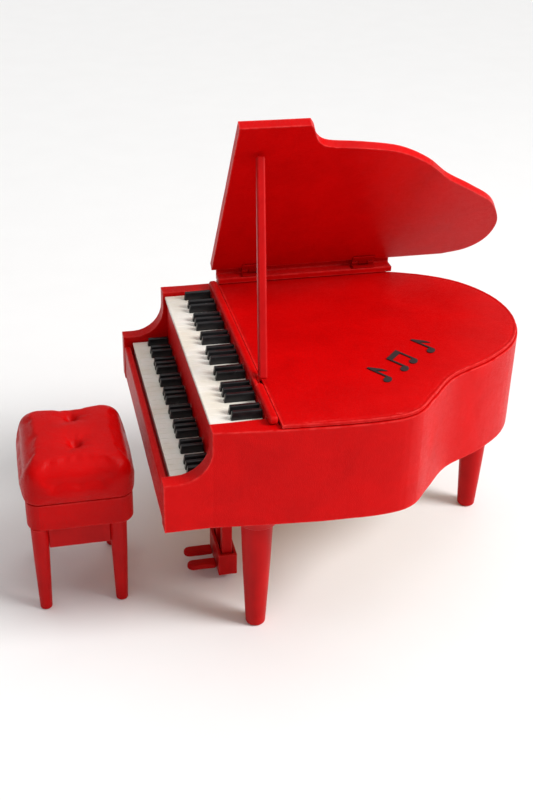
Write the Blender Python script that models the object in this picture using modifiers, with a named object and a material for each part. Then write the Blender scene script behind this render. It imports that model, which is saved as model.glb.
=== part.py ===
"""Miniature grand piano: two keyboards, a lid on a folding prop, a pedal lyre and a buttoned stool.

X runs from the keyboards to the tail, Y from the treble side to the lid's hinge side, Z up.
Places are first worked in the piano's own frame, whose X starts at the front of the arms and whose Y starts
at the treble arm's outer face. One empty then moves the whole set so that it stands centred on the origin.
"""

import math

import bmesh
import bpy
from mathutils import Matrix, Vector

MM = 0.001
GAP = 0.3 * MM
Z_AXIS = Vector((0.0, 0.0, 1.0))

# Overall sizes: a 1.5 m wide grand at one twelfth
CASE_WIDTH = 125.0 * MM
SET_FRONT_X = -49.0 * MM
LID_TAIL_X = 163.8 * MM
TREBLE_BULGE = 4.3 * MM

# Heights of the case
UNDERSIDE_Z = 54.4 * MM
RIM_TOP_Z = 94.6 * MM
PANEL_THICK = 1.3 * MM
PANEL_TOP_Z = RIM_TOP_Z + GAP + PANEL_THICK
BOARD_THICK = 2.7 * MM

# The arms beside the keyboards: a low front, then a hollow quarter curve up to the rim
ARM_TOP_Z = 74.6 * MM
ARM_THICK = 6.5 * MM
ARM_CURVE_RADIUS = 12.7 * MM
CHEEK_FRONT_X = 17.7 * MM
WALL_THICK = 4.0 * MM
BELLY_FRONT_X = 38.2 * MM
BELLY_BACK_X = 41.6 * MM

# Plan of the case behind the arms: out and round the treble bend, the tail and back to the spine
CASE_CURVE = (
    (17.7, 0.0), (50.0, -3.3), (78.0, -4.3), (93.0, -1.2), (103.5, 9.5), (115.5, 22.2),
    (134.5, 32.6), (150.0, 46.5), (158.0, 66.0), (156.4, 88.0), (144.5, 107.0), (122.0, 119.5),
    (94.0, 125.0),
)
CURVE_STEPS = 5

# Keyboards
KEY_SIDE_GAP = 0.3 * MM
WHITE_LOW_X = (3.9 * MM, 18.9 * MM)
WHITE_LOW_Z = (66.4 * MM, 72.0 * MM)
WHITE_HIGH_X = (18.6 * MM, 37.8 * MM)
WHITE_HIGH_Z = (89.9 * MM, 92.9 * MM)
BLACK_WIDTH = 2.5 * MM
BLACK_HEIGHT = 3.0 * MM
BLACK_SHARE = 0.6
COMB_RAIL = 0.6 * MM
LOW_GROUPS = (3, 2, 3, 2, 3, 2, 3, 2, 1)
HIGH_GROUPS = (2, 3, 2, 3, 2, 3, 2, 1)
RISER_X = (19.3 * MM, 21.5 * MM)

# Lid and its hinges. The lid is modelled shut, in the frame of its pin, and the pin's empty opens it
LID_OPEN_DEG = 54.0
LID_THICK = 3.5 * MM
PIN_Y = 122.0 * MM
PIN_Z = PANEL_TOP_Z + 4.9 * MM
LID_FRONT_X = 39.6 * MM
LID_REACH = 100.5 * MM
LID_CURVE = (
    (66.6, 100.5), (68.4, 97.2), (70.8, 91.0), (76.0, 86.8), (90.0, 84.6), (106.0, 80.6),
    (120.0, 71.6), (131.0, 60.6), (144.0, 51.0), (156.0, 41.0), (162.6, 29.0), (163.8, 19.5),
    (161.4, 10.8), (155.0, 4.4), (145.0, 1.6),
)
LID_PIN_GAP = 1.6 * MM
HINGE_RAIL_END_X = 121.0 * MM
HINGE_X = (58.0 * MM, 108.0 * MM)
HINGE_HALF = 5.0 * MM
KNUCKLE_HALF = 2.0 * MM
KNUCKLE_RADIUS = 1.25 * MM
HINGE_BORE = 0.75 * MM
PIN_RADIUS = 0.45 * MM
LEAF_THICK = 0.6 * MM

# Prop: a square stick on a slanted pin, which folds it outwards and down along the top panel
PROP_FOOT = Vector((42.2 * MM, 30.0 * MM, PANEL_TOP_Z + 2.6 * MM))
PROP_TIP_X = 49.2 * MM
PROP_TIP_REACH = 85.4 * MM
PROP_TIP_GAP = 0.9 * MM
PROP_SIDE = 3.3 * MM
PROP_BELOW_PIN = 1.1 * MM
PROP_TIP_CUT = 0.6 * MM
PROP_FOLD_DEG = 202.5

# Legs
LEG_TOP_RADIUS = 6.2 * MM
LEG_FOOT_RADIUS = 3.9 * MM
COLLAR_RADIUS = 9.4 * MM
COLLAR_HEIGHT = 4.7 * MM
LEG_PLACES = {"treble_leg": (36.3, 9.6), "bass_leg": (36.3, 115.3), "tail_leg": (148.2, 70.9)}

# Lyre
PEDAL_BOX = ((26.7, 36.6, 2.8), (34.4, 57.6, 12.9))
PEDAL_BOX_WALL = 1.35
PEDAL_Y = {"treble_pedal": 42.2, "bass_pedal": 51.6}
PEDAL_TIP_X = 14.5 * MM
PEDAL_WIDTH = 4.6 * MM
PEDAL_Z = (4.2 * MM, 6.9 * MM)

# Stool
STOOL_LOW = (-48.4, 31.0)
STOOL_HIGH = (-7.2, 79.0)
STOOL_BOX_Z = (38.5 * MM, 50.8 * MM)
CUSHION_TOP_Z = 65.5 * MM
STOOL_CORNER = 6.0 * MM
STOOL_LEG_X = (-43.9, -13.6)
STOOL_LEG_Y = (34.6, 72.0)
STOOL_LEG_RADII = (2.4 * MM, 3.4 * MM)
BUTTON_PLACES = ((-27.6, 46.5), (-27.6, 66.5))
BUTTON_RADIUS = 1.5 * MM


def clear_scene():
    for old in list(bpy.data.objects):
        bpy.data.objects.remove(old, do_unlink=True)


def new_collection(name):
    collection = bpy.data.collections.new(name)
    bpy.context.scene.collection.children.link(collection)
    return collection


def new_material(name, colour, roughness, metallic=0.0):
    material = bpy.data.materials.new(name)
    material.use_nodes = True
    shader = material.node_tree.nodes["Principled BSDF"]
    shader.inputs["Base Color"].default_value = (*colour, 1.0)
    shader.inputs["Roughness"].default_value = roughness
    shader.inputs["Metallic"].default_value = metallic
    return material


def new_empty(name, location, parent=None):
    empty = bpy.data.objects.new(name, None)
    empty.location = location
    empty.parent = parent
    PARTS.objects.link(empty)
    return empty


def new_piece(name, mesh, material, parent, location=(0.0, 0.0, 0.0)):
    piece = bpy.data.objects.new(name, mesh)
    piece.location = location
    piece.parent = parent
    if material is None:
        piece.hide_render = True
        piece.display_type = "WIRE"
        CUTTERS.objects.link(piece)
    else:
        mesh.materials.clear()
        mesh.materials.append(material)
        PARTS.objects.link(piece)
    return piece


def box(name, low, high, material, parent):
    low = Vector(low)
    size = Vector(high) - low
    mesh = bpy.data.meshes.new(name)
    shape = bmesh.new()
    bmesh.ops.create_cube(shape, size=1.0, matrix=Matrix.Diagonal((*size, 1.0)))
    shape.to_mesh(mesh)
    shape.free()
    return new_piece(name, mesh, material, parent, low + size / 2)


def round_bar(name, centre, radii, depth, material, parent, axis=Z_AXIS, segments=24):
    """A cylinder or cone, with radii at its low and high ends along the axis."""
    mesh = bpy.data.meshes.new(name)
    shape = bmesh.new()
    bmesh.ops.create_cone(
        shape, cap_ends=True, segments=segments, radius1=radii[0], radius2=radii[1], depth=depth
    )
    shape.to_mesh(mesh)
    shape.free()
    piece = new_piece(name, mesh, material, parent, centre)
    piece.rotation_euler = Z_AXIS.rotation_difference(Vector(axis)).to_euler()
    mesh.shade_smooth()
    mesh.set_sharp_from_angle(angle=math.radians(40.0))
    return piece


def plate(name, outline, low_z, high_z, material, parent):
    """A flat closed outline given thickness: a filled 2D curve, made into a mesh."""
    curve = bpy.data.curves.new(name, "CURVE")
    curve.dimensions = "2D"
    curve.fill_mode = "BOTH"
    curve.extrude = (high_z - low_z) / 2
    spline = curve.splines.new("POLY")
    spline.points.add(len(outline) - 1)
    for point, (x, y) in zip(spline.points, outline):
        point.co = (x, y, 0.0, 1.0)
    spline.use_cyclic_u = True
    drawn = bpy.data.objects.new(name + "_outline", curve)
    bpy.context.scene.collection.objects.link(drawn)
    graph = bpy.context.evaluated_depsgraph_get()
    mesh = bpy.data.meshes.new_from_object(drawn.evaluated_get(graph))
    bpy.data.objects.remove(drawn)
    shape = bmesh.new()
    shape.from_mesh(mesh)
    bmesh.ops.remove_doubles(shape, verts=shape.verts, dist=0.001 * MM)
    shape.to_mesh(mesh)
    shape.free()
    mesh.name = name
    return new_piece(name, mesh, material, parent, (0.0, 0.0, (low_z + high_z) / 2))


def combine(piece, tool, operation="DIFFERENCE"):
    """Cuts the tool from the piece, or joins it on."""
    modifier = piece.modifiers.new(tool.name, "BOOLEAN")
    modifier.operation = operation
    modifier.object = tool


def soften(piece, width, segments=1):
    modifier = piece.modifiers.new("rounded_edges", "BEVEL")
    modifier.width = width
    modifier.segments = segments
    modifier.limit_method = "ANGLE"
    modifier.angle_limit = math.radians(50.0)


def through(points, steps):
    """A smooth Catmull-Rom line through the points, given in millimetres."""
    known = [Vector(point) * MM for point in points]
    known = [2 * known[0] - known[1]] + known + [2 * known[-1] - known[-2]]
    line = []
    for a, b, c, d in zip(known, known[1:], known[2:], known[3:]):
        for step in range(steps):
            t = step / steps
            line.append(
                (2 * b + (c - a) * t + (2 * a - 5 * b + 4 * c - d) * t**2
                 + (3 * b - a - 3 * c + d) * t**3) / 2
            )
    line.append(known[-2])
    return line


def inset(line, distance):
    """The line moved to its left, which is into the case, by a distance."""
    moved = []
    for index, point in enumerate(line):
        before = line[max(index - 1, 0)]
        after = line[min(index + 1, len(line) - 1)]
        run = (after - before).normalized()
        moved.append(point + Vector((-run.y, run.x)) * distance)
    return moved


def behind(line, x):
    return [point for point in line if point.x > x]


def rounded_rectangle(low, high, radius, steps=4):
    """Corner arcs of one radius, from the low corner round to the start."""
    corners = (
        (low[0] + radius, low[1] + radius, 180.0),
        (high[0] - radius, low[1] + radius, 270.0),
        (high[0] - radius, high[1] - radius, 0.0),
        (low[0] + radius, high[1] - radius, 90.0),
    )
    outline = []
    for x, y, start in corners:
        for step in range(steps + 1):
            angle = math.radians(start + 90.0 * step / steps)
            outline.append((x + radius * math.cos(angle), y + radius * math.sin(angle)))
    return outline


def arm_profile():
    """The space above an arm, in X and Z: over its flat front and up the hollow curve."""
    centre = Vector((CHEEK_FRONT_X - ARM_CURVE_RADIUS, ARM_TOP_Z + ARM_CURVE_RADIUS))
    above_z = RIM_TOP_Z + 5 * MM
    profile = [(-5 * MM, above_z), (-5 * MM, ARM_TOP_Z)]
    for step in range(9):
        angle = math.radians(-90.0 + 90.0 * step / 8)
        profile.append((
            centre.x + ARM_CURVE_RADIUS * math.cos(angle),
            centre.y + ARM_CURVE_RADIUS * math.sin(angle),
        ))
    profile.append((CHEEK_FRONT_X, above_z))
    return profile


def make_rim(red, base):
    """The bent rim and both arms in one piece, open towards the player."""
    outer = through(CASE_CURVE, CURVE_STEPS)
    inner = behind(inset(outer, WALL_THICK), BELLY_BACK_X + GAP)
    arm_low_y, arm_high_y = ARM_THICK, CASE_WIDTH - ARM_THICK
    back_x = BELLY_BACK_X + GAP
    outline = [(0.0, 0.0)]
    outline += [(point.x, point.y) for point in outer]
    outline += [(0.0, CASE_WIDTH), (0.0, arm_high_y), (back_x, arm_high_y)]
    outline += [(back_x, CASE_WIDTH - WALL_THICK)]
    outline += [(point.x, point.y) for point in reversed(inner)]
    outline += [(back_x, inner[0].y), (back_x, arm_low_y), (0.0, arm_low_y)]
    rim = plate("case_rim", outline, UNDERSIDE_Z, RIM_TOP_Z, red, base)
    space = plate("space_above_arms", arm_profile(), -5 * MM, CASE_WIDTH + 5 * MM, None, base)
    space.rotation_euler = (math.radians(90.0), 0.0, 0.0)
    space.location = (0.0, CASE_WIDTH / 2, 0.0)
    combine(rim, space)
    return outer


def make_boards(outer, red, wood, base):
    """The bottom board and top panel, which follow the rim, and two braces inside it."""
    front_x = 3.2 * MM
    side_low = ARM_THICK + GAP
    side_high = CASE_WIDTH - ARM_THICK - GAP
    step_x = BELLY_BACK_X + 2 * GAP
    inner = behind(inset(outer, WALL_THICK + GAP), step_x)
    outline = [(front_x, side_low), (step_x, side_low)]
    outline += [(point.x, point.y) for point in inner]
    outline += [(step_x, CASE_WIDTH - WALL_THICK - GAP), (step_x, side_high), (front_x, side_high)]
    plate("bottom_board", outline, UNDERSIDE_Z + GAP, UNDERSIDE_Z + GAP + BOARD_THICK, wood, base)

    over = behind(inset(outer, 0.8 * MM), step_x)
    outline = [(step_x, over[0].y)]
    outline += [(point.x, point.y) for point in over]
    outline += [(step_x, CASE_WIDTH - 0.8 * MM)]
    panel = plate("top_panel", outline, RIM_TOP_Z + GAP, PANEL_TOP_Z, red, base)
    soften(panel, 0.4 * MM)

    low_z = UNDERSIDE_Z + 2 * GAP + BOARD_THICK
    high_z = RIM_TOP_Z - 0.2 * MM
    braces = {"front_brace": (75.0, 1.0, 120.4), "back_brace": (108.0, 25.6, 117.2)}
    for name, (x, low_y, high_y) in braces.items():
        box(name, (x * MM, low_y * MM, low_z), ((x + 4.0) * MM, high_y * MM, high_z), wood, base)


def key_centres(groups, low_y, high_y):
    """Middles of the black keys: each group of n stands over n + 1 white keys."""
    whites = sum(count + 1 for count in groups)
    pitch = (high_y - low_y) / whites
    centres = []
    passed = 0
    for count in groups:
        centres += [low_y + (passed + place + 1) * pitch for place in range(count)]
        passed += count + 1
    return centres


def make_keyboard(name, span_x, span_z, groups, ivory, black, base):
    """A white strip and a comb of black keys, joined behind by a low rail."""
    low_y = ARM_THICK + KEY_SIDE_GAP
    high_y = CASE_WIDTH - ARM_THICK - KEY_SIDE_GAP
    box("white_keys_" + name, (span_x[0], low_y, span_z[0]), (span_x[1], high_y, span_z[1]), ivory, base)
    rail_x = span_x[1] - COMB_RAIL
    tip_x = span_x[1] - BLACK_SHARE * (span_x[1] - span_x[0])
    half = BLACK_WIDTH / 2
    outline = [(span_x[1], high_y - MM), (rail_x, high_y - MM)]
    for y in reversed(key_centres(groups, low_y, high_y)):
        outline += [(rail_x, y + half), (tip_x, y + half), (tip_x, y - half), (rail_x, y - half)]
    outline += [(rail_x, low_y + MM), (span_x[1], low_y + MM)]
    low_z = span_z[1] + GAP
    comb = plate("black_keys_" + name, outline, low_z, low_z + BLACK_HEIGHT, black, base)
    above_rail = box(
        "space_above_rail_" + name,
        (rail_x - 0.2 * MM, 0.0, low_z + 0.45 * MM),
        (span_x[1] + MM, CASE_WIDTH, low_z + BLACK_HEIGHT + MM),
        None,
        base,
    )
    combine(comb, above_rail)


def make_key_supports(red, wood, base):
    """Slip, riser and belly rail in red, and the two beds that carry the keys."""
    low_y = ARM_THICK + GAP
    high_y = CASE_WIDTH - ARM_THICK - GAP
    board_top = UNDERSIDE_Z + GAP + BOARD_THICK
    bed_z = board_top + GAP
    slip = box("key_slip", (0.3 * MM, low_y, UNDERSIDE_Z), (2.9 * MM, high_y, 70.4 * MM), red, base)
    soften(slip, 0.5 * MM)
    bed_top = WHITE_LOW_Z[0] - GAP
    box("lower_key_bed", (3.2 * MM, low_y, bed_z), (BELLY_FRONT_X - GAP, high_y, bed_top), wood, base)
    high_bed = (WHITE_HIGH_Z[0] - GAP - 4.0 * MM, WHITE_HIGH_Z[0] - GAP)
    box("riser_board", (RISER_X[0], low_y, bed_top + GAP), (RISER_X[1], high_y, high_bed[1]), red, base)
    box(
        "upper_key_bed",
        (RISER_X[1] + GAP, low_y, high_bed[0]),
        (BELLY_FRONT_X - GAP, high_y, high_bed[1]),
        wood,
        base,
    )
    return low_y, high_y, bed_z


def fold_axis(standing, folded, angle):
    """The axis about which a turn of this angle takes one direction to the other."""
    cosine = math.cos(angle)
    share = (standing.dot(folded) - cosine) / (1.0 - cosine)
    middle = (standing + folded).normalized()
    across = folded.cross(standing).normalized()
    along = math.sqrt(share) / middle.dot(standing)
    return middle * along + across * math.sqrt(1.0 - along**2)


def prop_line():
    """Direction and length of the standing prop, and the axis of its pin."""
    angle = math.radians(LID_OPEN_DEG)
    down_lid = Vector((0.0, -math.cos(angle), math.sin(angle)))
    off_lid = Vector((0.0, -math.sin(angle), -math.cos(angle)))
    tip = Vector((PROP_TIP_X, PIN_Y, PIN_Z)) + down_lid * PROP_TIP_REACH + off_lid * PROP_TIP_GAP
    line = tip - PROP_FOOT
    direction = line.normalized()
    axis = fold_axis(direction, Vector((1.0, 0.0, 0.0)), math.radians(PROP_FOLD_DEG))
    return direction, line.length, axis


def make_belly_rail(low_y, high_y, bed_z, red, base):
    """The rail behind the upper keys. Its cap runs over the arms and is notched for the prop's foot."""
    rail = box(
        "belly_rail", (BELLY_FRONT_X, low_y, bed_z), (BELLY_BACK_X, high_y, RIM_TOP_Z + 2 * MM), red, base
    )
    cap = box(
        "belly_rail_cap",
        (BELLY_FRONT_X, 1.0 * MM, RIM_TOP_Z + GAP),
        (BELLY_BACK_X, 120.5 * MM, RIM_TOP_Z + 3.4 * MM),
        None,
        base,
    )
    combine(rail, cap, "UNION")
    notch_low = (39.7 * MM, PROP_FOOT.y - 3.0 * MM, RIM_TOP_Z + 0.9 * MM)
    notch = box("foot_notch", notch_low, (50 * MM, PROP_FOOT.y + 3.0 * MM, 110 * MM), None, base)
    combine(rail, notch)
    return rail


def make_prop(rail, red, metal, base):
    direction, length, axis = prop_line()
    pivot = new_empty("prop_pivot", PROP_FOOT, base)
    side = (Vector((1.0, 0.0, 0.0)) - direction * direction.x).normalized()
    turn = Matrix((side, direction.cross(side), direction)).transposed()
    pivot.rotation_euler = turn.to_euler()
    half = PROP_SIDE / 2
    top = length - PROP_TIP_CUT
    prop = box("lid_prop", (-half, -half, -PROP_BELOW_PIN), (half, half, top), red, pivot)
    soften(prop, 0.6 * MM)
    bore = round_bar(
        "prop_bore", PROP_FOOT - axis * 2.0 * MM, (HINGE_BORE, HINGE_BORE), 6.4 * MM,
        None, base, axis, segments=12,
    )
    combine(prop, bore)
    socket = round_bar(
        "pin_socket", PROP_FOOT - axis * 4.0 * MM, (HINGE_BORE, HINGE_BORE), 3.0 * MM,
        None, base, axis, segments=12,
    )
    combine(rail, socket)
    round_bar(
        "prop_pin", PROP_FOOT - axis * 2.0 * MM, (PIN_RADIUS, PIN_RADIUS), 5.6 * MM,
        metal, base, axis, segments=12,
    )


def make_lid(red, hinge):
    """The lid, shut in the hinge's frame: X along the pin, -Y out along the lid, Z up."""
    curve = through(LID_CURVE, CURVE_STEPS)
    outline = [(LID_FRONT_X, -LID_PIN_GAP), (LID_FRONT_X, -LID_REACH)]
    outline += [(point.x, -point.y) for point in curve]
    lid = plate("lid", outline, 0.0, LID_THICK, red, hinge)
    soften(lid, 0.5 * MM)


def knuckle(name, x_low, x_high, material, parent, y, z):
    centre = ((x_low + x_high) / 2, y, z)
    radii = (KNUCKLE_RADIUS, KNUCKLE_RADIUS)
    return round_bar(name, centre, radii, x_high - x_low, material, parent, (1, 0, 0), segments=16)


def make_hinge(number, x, metal, base, hinge):
    """One butt hinge: a leaf on the rail, a leaf under the lid and the pin between them."""
    rail_leaf = box(
        f"rail_hinge_leaf_{number}",
        (x - HINGE_HALF, PIN_Y - 3.4 * MM, PIN_Z - 1.1 * MM - LEAF_THICK),
        (x + HINGE_HALF, PIN_Y + 1.6 * MM, PIN_Z - 1.1 * MM),
        metal,
        base,
    )
    gap_half = KNUCKLE_HALF + GAP
    ends = ((x - HINGE_HALF, x - gap_half), (x + gap_half, x + HINGE_HALF))
    for side, (low, high) in enumerate(ends):
        name = f"rail_knuckle_{number}_{side}"
        combine(rail_leaf, knuckle(name, low, high, None, base, PIN_Y, PIN_Z), "UNION")
    clearance = box(
        f"knuckle_clearance_{number}",
        (x - gap_half, PIN_Y - 1.7 * MM, PIN_Z - 3 * MM),
        (x + gap_half, PIN_Y + 3 * MM, PIN_Z + 3 * MM),
        None,
        base,
    )
    combine(rail_leaf, clearance)

    lid_leaf = box(
        f"lid_hinge_leaf_{number}",
        (x - HINGE_HALF, -4.6 * MM, -GAP - LEAF_THICK),
        (x + HINGE_HALF, -1.7 * MM, -GAP),
        metal,
        hinge,
    )
    tongue = box(
        f"lid_tongue_{number}",
        (x - KNUCKLE_HALF, -2.5 * MM, -GAP - LEAF_THICK),
        (x + KNUCKLE_HALF, -0.2 * MM, -GAP),
        None,
        hinge,
    )
    combine(lid_leaf, tongue, "UNION")
    middle = knuckle(f"lid_knuckle_{number}", x - KNUCKLE_HALF, x + KNUCKLE_HALF, None, hinge, 0.0, 0.0)
    combine(lid_leaf, middle, "UNION")
    length = 2 * HINGE_HALF + 0.4 * MM
    bore = round_bar(
        f"hinge_bore_{number}", (x, PIN_Y, PIN_Z), (HINGE_BORE, HINGE_BORE), length + 2 * MM,
        None, base, (1, 0, 0), segments=12,
    )
    combine(rail_leaf, bore)
    combine(lid_leaf, bore)
    round_bar(
        f"hinge_pin_{number}", (x, PIN_Y, PIN_Z), (PIN_RADIUS, PIN_RADIUS), length,
        metal, base, (1, 0, 0), segments=12,
    )


def make_legs(red, base):
    collar_z = UNDERSIDE_Z - GAP - COLLAR_HEIGHT / 2
    leg_height = UNDERSIDE_Z - 2 * GAP - COLLAR_HEIGHT
    for name, (x, y) in LEG_PLACES.items():
        radii = (LEG_FOOT_RADIUS, LEG_TOP_RADIUS)
        leg = round_bar(name, (x * MM, y * MM, leg_height / 2), radii, leg_height, red, base)
        soften(leg, 0.7 * MM)
        collar_radii = (COLLAR_RADIUS - 1.2 * MM, COLLAR_RADIUS)
        collar_at = (x * MM, y * MM, collar_z)
        round_bar(name + "_collar", collar_at, collar_radii, COLLAR_HEIGHT, red, base)


def stadium(x_low, x_high, y, width, steps=6):
    """A bar's plan with a half-round end towards the player."""
    radius = width / 2
    outline = [(x_high, y - radius), (x_high, y + radius)]
    for step in range(steps + 1):
        angle = math.radians(90.0 + 180.0 * step / steps)
        outline.append((x_low + radius + radius * math.cos(angle), y + radius * math.sin(angle)))
    return outline


def make_lyre(red, base):
    low, high = (Vector(corner) * MM for corner in PEDAL_BOX)
    wall = PEDAL_BOX_WALL * MM
    tray = box("pedal_box", low, high, red, base)
    hollow = box(
        "pedal_box_hollow", low + Vector((wall, wall, 2.2 * MM)),
        high + Vector((-wall, -wall, MM)), None, base,
    )
    combine(tray, hollow)
    post = 4.2 * MM
    post_x = (low.x + high.x) / 2 - post / 2
    inside = wall + 0.4 * MM
    starts = {"treble_lyre_post": low.y + inside, "bass_lyre_post": high.y - inside - post}
    for name, y in starts.items():
        foot = (post_x, y, low.z + 2.2 * MM + GAP)
        box(name, foot, (post_x + post, y + post, UNDERSIDE_Z - GAP), red, base)
    for name, y in PEDAL_Y.items():
        outline = stadium(PEDAL_TIP_X, low.x - GAP, y * MM, PEDAL_WIDTH)
        plate(name, outline, PEDAL_Z[0], PEDAL_Z[1], red, base)


def ellipse(centre, radii, turn, steps=14):
    outline = []
    for step in range(steps):
        angle = 2 * math.pi * step / steps
        x = radii[0] * math.cos(angle)
        y = radii[1] * math.sin(angle)
        outline.append((
            centre[0] + x * math.cos(turn) - y * math.sin(turn),
            centre[1] + x * math.sin(turn) + y * math.cos(turn),
        ))
    return outline


def make_note(name, at, turn, scale, strokes, heads, black, base):
    """A raised music note: one stroke outline and its round heads, laid on the top panel."""
    low_z = PANEL_TOP_Z + 0.1 * MM
    high_z = low_z + 0.3 * MM
    place = Matrix.Translation((at[0] * MM, at[1] * MM, 0.0)) @ Matrix.Rotation(turn, 4, "Z")

    def laid(points):
        moved = [place @ Vector((x * scale * MM, y * scale * MM, 0.0)) for x, y in points]
        return [(point.x, point.y) for point in moved]

    note = plate(name, laid(strokes), low_z, high_z, black, base)
    for number, head in enumerate(heads):
        outline = ellipse(head, (1.75, 1.25), math.radians(20.0))
        round_head = plate(f"{name}_head_{number}", laid(outline), low_z, high_z, None, base)
        combine(note, round_head, "UNION")


def make_ornament(black, base):
    """Three music notes in a rising row, in place of lettering."""
    pair = ((1.2, 0.0), (1.9, 0.0), (1.9, 6.4), (7.1, 7.6), (7.1, 1.2), (7.8, 1.2), (7.8, 9.8), (1.2, 8.2))
    single = ((1.2, 0.0), (1.9, 0.0), (1.9, 6.2), (4.4, 3.6), (4.1, 5.6), (1.9, 9.2), (1.2, 9.2))
    turn = math.radians(33.0)
    make_note("ornament_first_note", (88.5, 22.5), turn, 1.25, single, ((0.3, 0.2),), black, base)
    make_note("ornament_note_pair", (97.5, 29.5), turn, 1.25, pair, ((0.3, 0.2), (6.2, 1.4)), black, base)
    make_note("ornament_last_note", (112.5, 42.0), turn, 1.25, single, ((0.3, 0.2),), black, base)


def make_stool(red, place):
    low = [value * MM for value in STOOL_LOW]
    high = [value * MM for value in STOOL_HIGH]
    outline = rounded_rectangle(low, high, STOOL_CORNER)
    seat_box = plate("stool_seat_box", outline, STOOL_BOX_Z[0], STOOL_BOX_Z[1], red, place)
    soften(seat_box, 1.2 * MM)
    grow = 0.6 * MM
    wide_low = [value - grow for value in low]
    wide_high = [value + grow for value in high]
    outline = rounded_rectangle(wide_low, wide_high, STOOL_CORNER + grow)
    cushion = plate("stool_cushion", outline, STOOL_BOX_Z[1] + GAP, CUSHION_TOP_Z, red, place)
    soften(cushion, 3.6 * MM, segments=2)
    for number, (x, y) in enumerate(BUTTON_PLACES):
        pit_low = CUSHION_TOP_Z - 3.6 * MM
        pit = round_bar(
            f"button_pit_{number}", (x * MM, y * MM, pit_low + 2.3 * MM), (2.2 * MM, 5.0 * MM),
            4.6 * MM, None, place,
        )
        combine(cushion, pit)
        button_at = (x * MM, y * MM, pit_low + GAP + 0.6 * MM)
        button = round_bar(
            f"stool_button_{number}", button_at, (BUTTON_RADIUS, BUTTON_RADIUS), 1.2 * MM, red, place,
        )
        soften(button, 0.35 * MM)
    leg_top = STOOL_BOX_Z[0] - GAP
    sides = (("player", STOOL_LEG_X[0]), ("piano", STOOL_LEG_X[1]))
    rows = (("treble", STOOL_LEG_Y[0]), ("bass", STOOL_LEG_Y[1]))
    for row, y in rows:
        for side, x in sides:
            leg_at = (x * MM, y * MM, leg_top / 2)
            leg = round_bar(f"stool_{row}_{side}_leg", leg_at, STOOL_LEG_RADII, leg_top, red, place)
            soften(leg, 0.5 * MM)
        apron_low = (STOOL_LEG_X[0] * MM + STOOL_LEG_RADII[1] + GAP, y * MM - 1.2 * MM, 29.2 * MM)
        apron_high = (STOOL_LEG_X[1] * MM - STOOL_LEG_RADII[1] - GAP, y * MM + 1.2 * MM, leg_top)
        box(f"stool_{row}_apron", apron_low, apron_high, red, place)


def main():
    red = new_material("red_leatherette", (0.55, 0.006, 0.006), 0.42)
    ivory = new_material("ivory_plastic", (0.86, 0.83, 0.76), 0.35)
    black = new_material("black_lacquer", (0.012, 0.012, 0.014), 0.22)
    wood = new_material("pine_board", (0.55, 0.38, 0.22), 0.7)
    metal = new_material("red_painted_steel", (0.4, 0.01, 0.01), 0.4, 0.2)
    middle = Vector(((SET_FRONT_X + LID_TAIL_X) / 2, (CASE_WIDTH - TREBLE_BULGE) / 2, 0.0))
    base = new_empty("piano_frame", -middle)

    outer = make_rim(red, base)
    make_boards(outer, red, wood, base)
    low_y, high_y, bed_z = make_key_supports(red, wood, base)
    make_keyboard("lower", WHITE_LOW_X, WHITE_LOW_Z, LOW_GROUPS, ivory, black, base)
    make_keyboard("upper", WHITE_HIGH_X, WHITE_HIGH_Z, HIGH_GROUPS, ivory, black, base)
    rail = make_belly_rail(low_y, high_y, bed_z, red, base)
    make_prop(rail, red, metal, base)

    hinge = new_empty("lid_hinge_pin_line", (0.0, PIN_Y, PIN_Z), base)
    hinge.rotation_euler = (math.radians(-LID_OPEN_DEG), 0.0, 0.0)
    make_lid(red, hinge)
    rail_low = (BELLY_BACK_X + 2 * GAP, PIN_Y - 3.4 * MM, PANEL_TOP_Z + GAP)
    rail_high = (HINGE_RAIL_END_X, PIN_Y + 2.4 * MM, PIN_Z - 2.0 * MM)
    hinge_rail = box("hinge_rail", rail_low, rail_high, red, base)
    upstand_low = (rail_low[0], PIN_Y + 1.9 * MM, rail_low[2])
    upstand_high = (rail_high[0], PIN_Y + 3.0 * MM, PIN_Z + 1.2 * MM)
    upstand = box("hinge_rail_upstand", upstand_low, upstand_high, None, base)
    combine(hinge_rail, upstand, "UNION")
    soften(hinge_rail, 0.3 * MM)
    for number, x in enumerate(HINGE_X):
        make_hinge(number, x, metal, base, hinge)

    make_legs(red, base)
    make_lyre(red, base)
    make_ornament(black, base)
    stool_place = new_empty("stool_place", (0.0, 0.0, 0.0), base)
    make_stool(red, stool_place)


clear_scene()
PARTS = new_collection("miniature_grand_piano")
CUTTERS = new_collection("cutters")
main()
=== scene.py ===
import math

import bmesh
import bpy
from mathutils import Euler, Matrix, Vector, noise


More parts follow.
